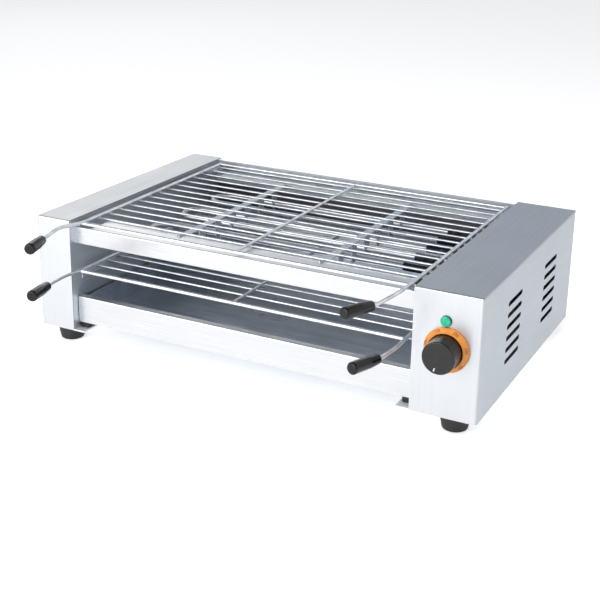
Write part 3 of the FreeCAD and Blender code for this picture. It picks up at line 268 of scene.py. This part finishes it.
# %% [markdown]
# A large soft lamp stands in front and to the left, where the steel fronts mirror it: that is
# what turns them nearly white. A weak one behind, to the left, lies where the left housing's top
# looks. The third hangs above and lights the floor and the plastic parts; the metal does not
# mirror it, so it leaves no bright patch on the sheets.

# %% Lamps
LAMPS = [   # name, place and size in metres, watts, mirrored by the metal
    ("front_softbox", (-1.0, -2.2, 0.95), 1.9, 38.0, True),
    ("back_softbox", (-2.3, 2.6, 1.45), 1.0, 2.4, True),
    ("top_softbox", (0.3, -0.4, 2.2), 1.6, 30.0, False),
]


def soft_lamp(name, place, size, watts, mirrored):
    """Square area lamp that looks at the middle of the grill."""
    lamp = bpy.data.lights.new(name, "AREA")
    lamp.size = size
    lamp.energy = watts
    holder = bpy.data.objects.new(name, lamp)
    bpy.context.scene.collection.objects.link(holder)
    holder.location = place
    holder.rotation_euler = (Vector(place) - TARGET).to_track_quat("Z", "Y").to_euler()
    holder.visible_glossy = mirrored


for lamp in LAMPS:
    soft_lamp(*lamp)
print("lamps:", [lamp.name for lamp in bpy.data.lights])

# %% [markdown]
# Nearly all of the body is stainless sheet with a brushed finish: a belt leaves fine parallel
# scratches, and light spreads across them rather than along them. The real lines are about
# 0.1 mm apart, too fine for this picture, so they are drawn 0.9 mm wide. The shader's
# anisotropy has no UVs to go by, so each material gets its tangent as a plain direction.

# %% Grain and facing
GRAIN_MM = 0.9
GRAIN_LENGTH_MM = 90.0
AXES = {"x": (1.0, 0.0, 0.0), "y": (0.0, 1.0, 0.0), "z": (0.0, 0.0, 1.0)}


def brushing(tree, along):
    """Noise drawn out into lines along one axis."""
    size = [GRAIN_LENGTH_MM if axis == along else GRAIN_MM for axis in "xyz"]
    return pattern(tree, size, 3.0)


def direction(tree, axis):
    """A plain direction for the shader's tangent."""
    return add(tree, "ShaderNodeCombineXYZ", feeds=dict(zip("XYZ", AXES[axis]))).outputs["Vector"]


def normal_part(tree, axis):
    """How much the surface faces along an axis: 1 with it, -1 against it."""
    normal = add(tree, "ShaderNodeNewGeometry").outputs["True Normal"]
    return add(tree, "ShaderNodeSeparateXYZ", feeds={"Vector": normal}).outputs[axis.upper()]


def facing(tree, axis):
    """Near 1 where the surface faces along an axis, either way."""
    part = normal_part(tree, axis)
    return add(tree, "ShaderNodeMath", {"operation": "ABSOLUTE"}, {0: part}).outputs[0]


print("belt marks:", GRAIN_MM, "mm wide and", GRAIN_LENGTH_MM, "mm long")

# %% [markdown]
# Each housing is folded from one sheet whose grain runs front to back on top and outside, so on
# the front, folded down, it runs up and down. Its sides get painted shade: a darker tone that
# stands in for the shade they lie in. The sheets differ in finish: the crossbar and the tray front
# are the smoothest, and the frame, the base plates and the rear crossbar are duller. The frame,
# the base plates, the rear crossbar and the rear panel also get lighter tones, painted light for
# the light they catch. The two rear covers are zinc-coated sheet, painted darker so that their
# edges show as the shadow gap at the back corners, with fainter marks of the same kind.

# %% Brushed stainless
GRAIN_DEPTH_MM = 0.02
GRAIN_STRENGTH = 0.12
SMUDGE_MM = 70.0
SMUDGE_SHARE = 0.4                    # smudges are fainter than the lines they lie over
MIXED_RANGE = (0.5, 0.9)              # where the sum of lines and smudges mostly lies
ANISOTROPY = 0.5


def brushed_steel(name, dark, light, roughness, along, front_along=None, painted_side_shade=None):
    """Steel sheet with belt marks along one axis, and along another on its fronts; painted shade,
    a darker tone, on its sides when one is given.
    """
    material, tree, shader = start_material(name, light, 1.0, roughness, anisotropic=ANISOTROPY)
    lines = brushing(tree, along)
    way = direction(tree, along)
    if front_along:
        front = facing(tree, "y")
        lines = add(tree, "ShaderNodeMix", feeds={
            0: front, 2: lines, 3: brushing(tree, front_along)}).outputs[0]
        way = add(tree, "ShaderNodeMix", {"data_type": "VECTOR"}, {
            0: front, 4: way, 5: direction(tree, front_along)}).outputs[1]
    smudges = pattern(tree, (SMUDGE_MM,) * 3, 4.0, 3.0)
    mixed = scaled_sum(tree, smudges, SMUDGE_SHARE, lines)
    tone = blend_colours(tree, spread(tree, mixed, 0.0, 1.0, *MIXED_RANGE), dark, light)
    # Painted shade: faces along X take a darker tone in place of the shade the sides are in.
    if painted_side_shade:
        tone = mix_colours(tree, facing(tree, "x"), tone, linear(painted_side_shade))
    rough = spread(tree, mixed, roughness + 0.07, roughness - 0.05, *MIXED_RANGE)
    tree.links.new(tone, shader.inputs["Base Color"])
    tree.links.new(rough, shader.inputs["Roughness"])
    tree.links.new(way, shader.inputs["Tangent"])
    raise_grain(tree, shader, lines, GRAIN_STRENGTH, GRAIN_DEPTH_MM)
    return material


# The housing's sides get painted shade, a darker tone than its top and front.
housing_sheet = brushed_steel(
    "brushed_stainless_housing", "c3c5c8", "cacccf", 0.36, "y", "z", painted_side_shade="b0b5bb")
bar_sheet = brushed_steel("brushed_stainless_bar", "cfd0d2", "d7d8d9", 0.32, "x")
# Painted light: the frame, base, rear crossbar and rear panel sheets get lighter tones than the
# housings, standing in for the light they catch.
frame_sheet_painted_light = brushed_steel("brushed_stainless_frame_painted_light", "ccd2da", "dce0e6", 0.50, "y")
base_sheet_painted_light = brushed_steel("brushed_stainless_base_painted_light", "e2e4e6", "ecedee", 0.60, "y")
cross_sheet_painted_light = brushed_steel("brushed_stainless_crossing_painted_light", "dfe2e5", "eaecee", 0.58, "x")
# Painted shade: the rear covers are darker than zinc coat alone, so that their edges show as the
# shadow gap at the back corners.
cover_sheet_painted_shade = brushed_steel("zinc_coated_cover_painted_shade", "78808b", "868e9a", 0.48, "z")
panel_sheet_painted_light = brushed_steel("brushed_stainless_panel_painted_light", "d8dce0", "e4e6e9", 0.46, "x")
print("brushed sheets:", [m.name for m in bpy.data.materials if m.name.startswith("brushed")])

# %% [markdown]
# The rear panel stands close behind the rear element. Steel that has been heated in air turns
# brown and grey, so the inside of that panel gets a dark band at the elements' height, with a
# wavering edge. The band is also painted shade: it darkens the part of the panel that lies in
# shade under the rear shelf. Its outside stays clean.

# %% Heat stain and painted shade of the rear panel
STAIN_AND_SHADE = "6c666a"
STAIN_AND_SHADE_MM = (112.0, 166.0)             # lower and upper edge of the band, above the table
STAIN_AND_SHADE_FADE_MM = 14.0
STAIN_AND_SHADE_WANDER_MM = 12.0
INSIDE = (-0.6, -0.3)                 # Y of the normal, over which inside turns into edge


def heat_stain_and_painted_shade(material):
    """Darken a band of a sheet on the side that faces the hot elements: heat tint, and painted
    shade under the rear shelf.
    """
    tree = material.node_tree
    shader = tree.nodes["Principled BSDF"]
    clean = shader.inputs["Base Color"].links[0].from_socket
    place = add(tree, "ShaderNodeTexCoord").outputs["Object"]
    height = add(tree, "ShaderNodeSeparateXYZ", feeds={"Vector": place}).outputs["Z"]
    wander = scaled_sum(tree, pattern(tree, (60, 60, 25), 4.0, 7.0), STAIN_AND_SHADE_WANDER_MM * MM, height)
    low, high = (value * MM for value in STAIN_AND_SHADE_MM)
    fade = STAIN_AND_SHADE_FADE_MM * MM
    band = times(tree, spread(tree, wander, 0.0, 1.0, low - fade, low),
                 spread(tree, wander, 1.0, 0.0, high, high + fade))
    inside = spread(tree, normal_part(tree, "y"), 1.0, 0.0, *INSIDE)
    # The dark band is partly heat tint and partly painted shade.
    tone = mix_colours(tree, times(tree, band, inside), clean, linear(STAIN_AND_SHADE))
    tree.links.new(tone, shader.inputs["Base Color"])


heat_stain_and_painted_shade(panel_sheet_painted_light)
print("heat stain from", STAIN_AND_SHADE_MM[0], "to", STAIN_AND_SHADE_MM[1], "mm on", panel_sheet_painted_light.name)

# %% [markdown]
# The drip tray is cold-rolled stainless, smoother than the brushed outside. Fat has been wiped
# off it many times, so cloudy patches and a few long wiping marks lie over a dull mirror.

# %% Rolled stainless of the tray
WIPE_SHARE = 0.3
WIPED_RANGE = (0.45, 0.9)


def wiped_pan():
    """Rolled sheet whose clouds and wiping marks change both its tone and its gloss."""
    material, tree, shader = start_material("rolled_stainless_pan", "8b94a2", 1.0, 0.22)
    clouds = pattern(tree, (150, 80, 60), 5.0, 1.0)
    wipes = pattern(tree, (160, 5.0, 60), 2.0, 5.0)
    mixed = scaled_sum(tree, wipes, WIPE_SHARE, clouds)
    share = spread(tree, mixed, 0.0, 1.0, *WIPED_RANGE)
    rough = spread(tree, mixed, 0.42, 0.22, *WIPED_RANGE)
    tree.links.new(blend_colours(tree, share, "a6b0bd", "dde3ea"), shader.inputs["Base Color"])
    tree.links.new(rough, shader.inputs["Roughness"])
    return material


pan_sheet = wiped_pan()
print("tray sheet:", pan_sheet.name)

# %% [markdown]
# Grates and elements are round and bright, so they are read by their highlights. The grates are
# steel wire with nickel-chrome plating, slightly uneven where it was drawn. The element tubes
# are polished stainless that has been hot many times: duller grey patches come and go along
# them. Their cold ends sit in dark, oxidised sleeves.

# %% Plated wire and element tube
DRAWN_MM = 1.5                        # size of the unevenness that drawing and plating leave


def bright_metal(name, dark, light, roughness, size_mm, depth_mm=0.01):
    """Round bright stock: tone and roughness wander a little along it."""
    material, tree, shader = start_material(name, light, 1.0, roughness)
    clouds = pattern(tree, size_mm, 3.0)
    share = spread(tree, clouds, 0.0, 1.0, 0.35, 0.6)
    rough = spread(tree, clouds, roughness + 0.08, roughness - 0.04)
    tree.links.new(blend_colours(tree, share, dark, light), shader.inputs["Base Color"])
    tree.links.new(rough, shader.inputs["Roughness"])
    raise_grain(tree, shader, pattern(tree, (DRAWN_MM,) * 3), 0.15, depth_mm)
    return material


plated_wire = bright_metal("nickel_chrome_wire", "d2d5d9", "e8eaec", 0.36, (14, 14, 14), 0.003)
element_tube = bright_metal("polished_element_tube", "bab8b8", "d2d4d8", 0.28, (60, 9, 9), 0.003)
zinc_steel = bright_metal("zinc_plated_steel", "a8acb2", "c9ccd0", 0.28, (3, 3, 3))
plain_brass = bright_metal("plain_brass", "a98545", "c9a45c", 0.26, (6, 6, 6))
bare_copper = bright_metal("bare_copper", "a5623f", "c77f57", 0.28, (8, 8, 8))
oxidised_sleeve = bright_metal("oxidised_steel_sleeve", "23242a", "3a3d45", 0.50, (9, 9, 9), 0.03)
print("wire and tube:", plated_wire.name, element_tube.name)

# %% [markdown]
# The grips and the knob are compression-moulded phenolic: black, hard and fairly glossy, with a
# fine orange-peel skin from the mould and duller patches where hands rub it. The grips mirror
# less than the knob, so that they stay darker among so much bright steel. The other plastic
# parts are moulded nylon or ABS, and the feet are rubber, which is matt and picks up dust. The
# dial's ink gets the same treatment, since a printed film is never quite even either.

# %% Moulded plastic and rubber
PATCH_MM = 11.0


def moulded(name, dark, light, roughness, grain_mm, depth_mm, **sockets):
    """Moulded part: a fine skin from the mould, and rubbed or dusty patches."""
    material, tree, shader = start_material(name, light, 0.0, roughness, **sockets)
    patches = pattern(tree, (PATCH_MM,) * 3, 3.0, 2.0)
    share = spread(tree, patches, 0.0, 1.0)
    rough = spread(tree, patches, roughness - 0.06, roughness + 0.08)
    tree.links.new(blend_colours(tree, share, dark, light), shader.inputs["Base Color"])
    tree.links.new(rough, shader.inputs["Roughness"])
    raise_grain(tree, shader, pattern(tree, (grain_mm,) * 3, 1.0), 0.3, depth_mm)
    return material


grip_plastic = moulded(
    "phenolic_grip", "040405", "0a0a0b", 0.18, 0.8, 0.02, specular_ior_level=0.35)
knob_plastic = moulded("phenolic_knob", "0a090b", "131215", 0.24, 0.8, 0.02)
ring_plastic = moulded("printed_abs_ring", "dd8534", "e99b48", 0.36, 0.6, 0.02)
white_plastic = moulded("white_filled_mark", "dcdcd8", "f0f0ec", 0.5, 0.5, 0.02)
dark_plastic = moulded("moulded_nylon", "141416", "222226", 0.45, 0.6, 0.03)
foot_rubber = moulded("rubber_foot", "1a1a1b", "2c2b2b", 0.68, 1.2, 0.08)
ink = moulded("dial_ink", "4a1c0a", "5a240e", 0.55, 0.4, 0.01)
print("plastics: phenolic, nylon, ABS, rubber and", ink.name)

# %% [markdown]
# The pilot lens is green plastic over a neon lamp. Off, it still looks bright green, because
# light goes in, meets the white cup behind and comes back coloured. Here that is drawn as a
# green body under a glossy skin, with the small ripples that scatter the lamp's light.

# %% Pilot lens
LENS_IOR = 1.58                       # polycarbonate
RIPPLE_MM = 1.6


def green_lens():
    """Glossy green lens with a rippled face."""
    material, tree, shader = start_material(
        "green_polycarbonate", "12b87c", 0.0, 0.2, ior=LENS_IOR)
    ripples = pattern(tree, (RIPPLE_MM,) * 3, 1.0)
    share = spread(tree, ripples, 0.0, 1.0)
    tree.links.new(blend_colours(tree, share, "04a67e", "08d8a6"), shader.inputs["Base Color"])
    raise_grain(tree, shader, ripples, 0.35, 0.15)
    return material


pilot_green = green_lens()
print("lens:", pilot_green.name)

# %% [markdown]
# Inside the right housing the wiring is silicone rubber on a steatite block, beside a pressed
# mineral board. None of it shows from outside unless the covers come off, but it is finished as
# the real parts are. The earth core has green and yellow bands, here crossing it every 7 mm.

# %% Inside the right housing
BANDS = 45.0                          # scale of the wave texture for bands 7 mm apart

block_ceramic = moulded("steatite_block", "d8d2c2", "e8e4d8", 0.55, 0.5, 0.04)
mineral_board = moulded("pressed_mineral_board", "bdb6a6", "d2ccbe", 0.85, 1.0, 0.15)
live_silicone = moulded("brown_silicone", "4a2814", "5c331b", 0.5, 0.7, 0.02)
neutral_silicone = moulded("blue_silicone", "1d4691", "2a58a8", 0.5, 0.7, 0.02)


def earth_silicone():
    """Silicone core with green and yellow bands."""
    material, tree, shader = start_material("green_yellow_silicone", "5c9a28", 0.0, 0.5)
    place = add(tree, "ShaderNodeTexCoord").outputs["Object"]
    bands = add(tree, "ShaderNodeTexWave", feeds={
        "Vector": place, "Scale": BANDS, "Distortion": 0.0})
    share = spread(tree, bands.outputs["Fac"], 0.0, 1.0, 0.45, 0.55)
    tree.links.new(blend_colours(tree, share, "3f8a2c", "d9c62a"), shader.inputs["Base Color"])
    return material


earth_core = earth_silicone()
print("wiring:", live_silicone.name, neutral_silicone.name, earth_core.name)

# %% [markdown]
# Each finish now goes onto the pieces that are made of it. The frame's own objects keep their
# shapes and places: only the material in each slot changes.

# %% Dress the frame
FINISHES = [
    (housing_sheet, "left_housing right_housing"),
    (bar_sheet, "front_crossbar tray_front"),
    (frame_sheet_painted_light, "left_inner_wall right_inner_wall grate_ledges rear_grate_rests "
                  "element_combs sensor_clips"),
    (base_sheet_painted_light, "left_base right_base"),
    (cross_sheet_painted_light, "rear_crossbar"),
    (panel_sheet_painted_light, "rear_panel"),
    (cover_sheet_painted_shade, "left_rear_cover right_rear_cover"),
    (pan_sheet, "drip_tray"),
    (plated_wire, "upper_grate lower_grate upper_side_rods lower_side_rods"),
    (element_tube, "front_element middle_element rear_element sensor_bulb"),
    (oxidised_sleeve, "element_sleeves"),
    (plain_brass, "element_bushes element_nuts terminal_nuts earth_stud"),
    (bare_copper, "live_link_bar neutral_link_bar capillary_tube"),
    (zinc_steel, "element_terminals thermostat_shaft terminal_screws foot_screws foot_nuts "
                 "pan_head_screws ledge_rivets"),
    (grip_plastic, "upper_left_grip upper_right_grip lower_left_grip lower_right_grip"),
    (knob_plastic, "knob"),
    (ring_plastic, "dial_bezel"),
    (white_plastic, "knob_pointer"),
    (pilot_green, "pilot_lens"),
    (dark_plastic, "pilot_body pilot_nut thermostat_body tray_runners cable_gland gland_nut"),
    (foot_rubber, "feet"),
    (block_ceramic, "terminal_block"),
    (mineral_board, "insulation_board"),
    (live_silicone, "live_wires"),
    (neutral_silicone, "neutral_wires"),
    (earth_core, "earth_wire"),
]


def dress(material, names):
    """Put one material on every slot of the named nodes."""
    for name in names.split():
        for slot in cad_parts[name].material_slots:
            slot.material = material


for material, names in FINISHES:
    dress(material, names)
dressed = sum(len(names.split()) for _, names in FINISHES)
print("dressed", dressed, "of", len(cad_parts), "nodes")

# %% [markdown]
# The dial's figures are printed on the sloping face of its ring. Flat lettering would stand off
# a cone, so each figure is made flat and then wrapped: across becomes an angle round the axis,
# and up becomes a distance up the slope. A short tick stands at the foot of each figure.

# %% Printed figures of the dial
low_corner, high_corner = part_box("dial_bezel")
DIAL_X = (low_corner.x + high_corner.x) / 2
DIAL_Z = (low_corner.z + high_corner.z) / 2
PANEL_Y = high_corner.y
RING_OUTER = (28.5 * MM, 3.5 * MM)   # radius and height of the slope's outer edge
RING_INNER = (23.3 * MM, 7.5 * MM)   # and of its inner edge
FIGURE_HEIGHT = 3.6 * MM
EM_PER_HEIGHT = 1.35                 # a font's size counts its em, which is taller than a figure
FIGURE_UP = 1.4 * MM                 # foot of the figures above the slope's outer edge
TICK_UP = 0.2 * MM
TICK_WIDTH = 0.6 * MM
TICK_LENGTH = 0.9 * MM
INK_T = 0.06 * MM
FIGURES = ["50", "100", "150", "200", "250", "300"]
FIRST_ANGLE = -130.0                 # from straight up, clockwise seen from the front
LAST_ANGLE = 130.0


def on_slope(angle, across, up, lift):
    """Point on the ring's slope from an angle, distances across and up it, and a lift off it."""
    run = Vector((RING_INNER[0] - RING_OUTER[0], RING_INNER[1] - RING_OUTER[1]))
    out = Vector((run.y, -run.x)).normalized()
    radius, height = Vector(RING_OUTER) + run.normalized() * up + out * lift
    turn = math.radians(angle) + across / radius
    return Vector((
        DIAL_X + radius * math.sin(turn), PANEL_Y - height, DIAL_Z + radius * math.cos(turn)))


def flat_figure(text):
    """Mesh of one figure, lying flat, centred across, with a little thickness."""
    curve = bpy.data.curves.new("figure", "FONT")
    curve.body = text
    curve.align_x = "CENTER"
    curve.size = FIGURE_HEIGHT * EM_PER_HEIGHT
    curve.extrude = INK_T
    curve.resolution_u = 3
    holder = bpy.data.objects.new("figure", curve)
    bpy.context.scene.collection.objects.link(holder)
    bpy.context.view_layer.update()
    mesh = bpy.data.meshes.new_from_object(holder)
    bpy.data.objects.remove(holder)
    return mesh


def wrap_figure(build, text, angle):
    """Add one figure to the mesh, wrapped on the slope at its angle."""
    mesh = flat_figure(text)
    offset = len(build.verts)
    build.from_mesh(mesh)
    build.verts.ensure_lookup_table()
    for vertex in list(build.verts)[offset:]:
        flat = vertex.co.copy()
        vertex.co = on_slope(angle, flat.x, flat.y + FIGURE_UP, flat.z)


def tick(build, angle):
    """Small raised bar at the outer edge of the slope."""
    corners = []
    for lift in (-INK_T, INK_T):
        for across, up in ((-1, 0), (1, 0), (1, 1), (-1, 1)):
            point = on_slope(angle, across * TICK_WIDTH / 2, TICK_UP + up * TICK_LENGTH, lift)
            corners.append(build.verts.new(point))
    for face in ((0, 3, 2, 1), (4, 5, 6, 7), (0, 1, 5, 4),
                 (1, 2, 6, 5), (2, 3, 7, 6), (3, 0, 4, 7)):
        build.faces.new([corners[i] for i in face])


def make_piece(name, build, material, body):
    """Object from a bmesh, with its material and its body."""
    bmesh.ops.recalc_face_normals(build, faces=build.faces)
    mesh = bpy.data.meshes.new(name)
    build.to_mesh(mesh)
    build.free()
    mesh.materials.append(material)
    piece = bpy.data.objects.new(name, mesh)
    bpy.context.scene.collection.objects.link(piece)
    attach(piece, body)
    return piece


def print_dial():
    """All figures and their ticks as one piece."""
    build = bmesh.new()
    step = (LAST_ANGLE - FIRST_ANGLE) / (len(FIGURES) - 1)
    for index, text in enumerate(FIGURES):
        wrap_figure(build, text, FIRST_ANGLE + index * step)
    for index in range(len(FIGURES)):
        tick(build, FIRST_ANGLE + index * step)
    return make_piece("dial_figures", build, ink, "frame")


print("dial figures:", len(print_dial().data.vertices), "vertices")

# %% [markdown]
# Where a wire of a grate crosses a rod, a welding press melts them together and leaves a small
# swelling. Each one is a squashed ball at the crossing. The cross wires lie at an even pitch
# between the first and the last, under the two side rods and the middle one.

# %% Weld beads of the grates
WIRE_COUNT = 14
WIRE_R = 1.5 * MM
WIRE_PAST = 1.5 * MM                 # how far the cross wires stand out past the side rods
ROD_R = 2.5 * MM
MIDDLE_X = -16.0 * MM
BEAD = (2.2 * MM, 2.2 * MM, 0.9 * MM)
BEAD_SIDES = 12
BEAD_RINGS = 8
GRATE_WIRES = {"upper": (-93.9, 229.1), "lower": (-102.9, 222.1)}   # first and last, Y in mm


def weld_beads(grate):
    """One mesh with a bead at each crossing of one grate."""
    low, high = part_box(f"{grate}_grate")
    across = [low.x + ROD_R + WIRE_PAST, MIDDLE_X, high.x - ROD_R - WIRE_PAST]
    level = low.z + 2 * WIRE_R
    first, last = (value * MM for value in GRATE_WIRES[grate])
    pitch = (last - first) / (WIRE_COUNT - 1)
    build = bmesh.new()
    for index in range(WIRE_COUNT):
        for x in across:
            place = Matrix.Translation((x, first + index * pitch, level))
            squash = Matrix.Diagonal((*BEAD, 1.0))
            bmesh.ops.create_uvsphere(
                build, u_segments=BEAD_SIDES, v_segments=BEAD_RINGS, radius=1.0,
                matrix=place @ squash)
    for face in build.faces:
        face.smooth = True
    piece = make_piece(
        f"{grate}_weld_beads", build, plated_wire, f"{grate}_grate_body")
    return len(piece.data.polygons)


for grate in GRATE_WIRES:
    print(grate, "weld beads:", weld_beads(grate), "faces")
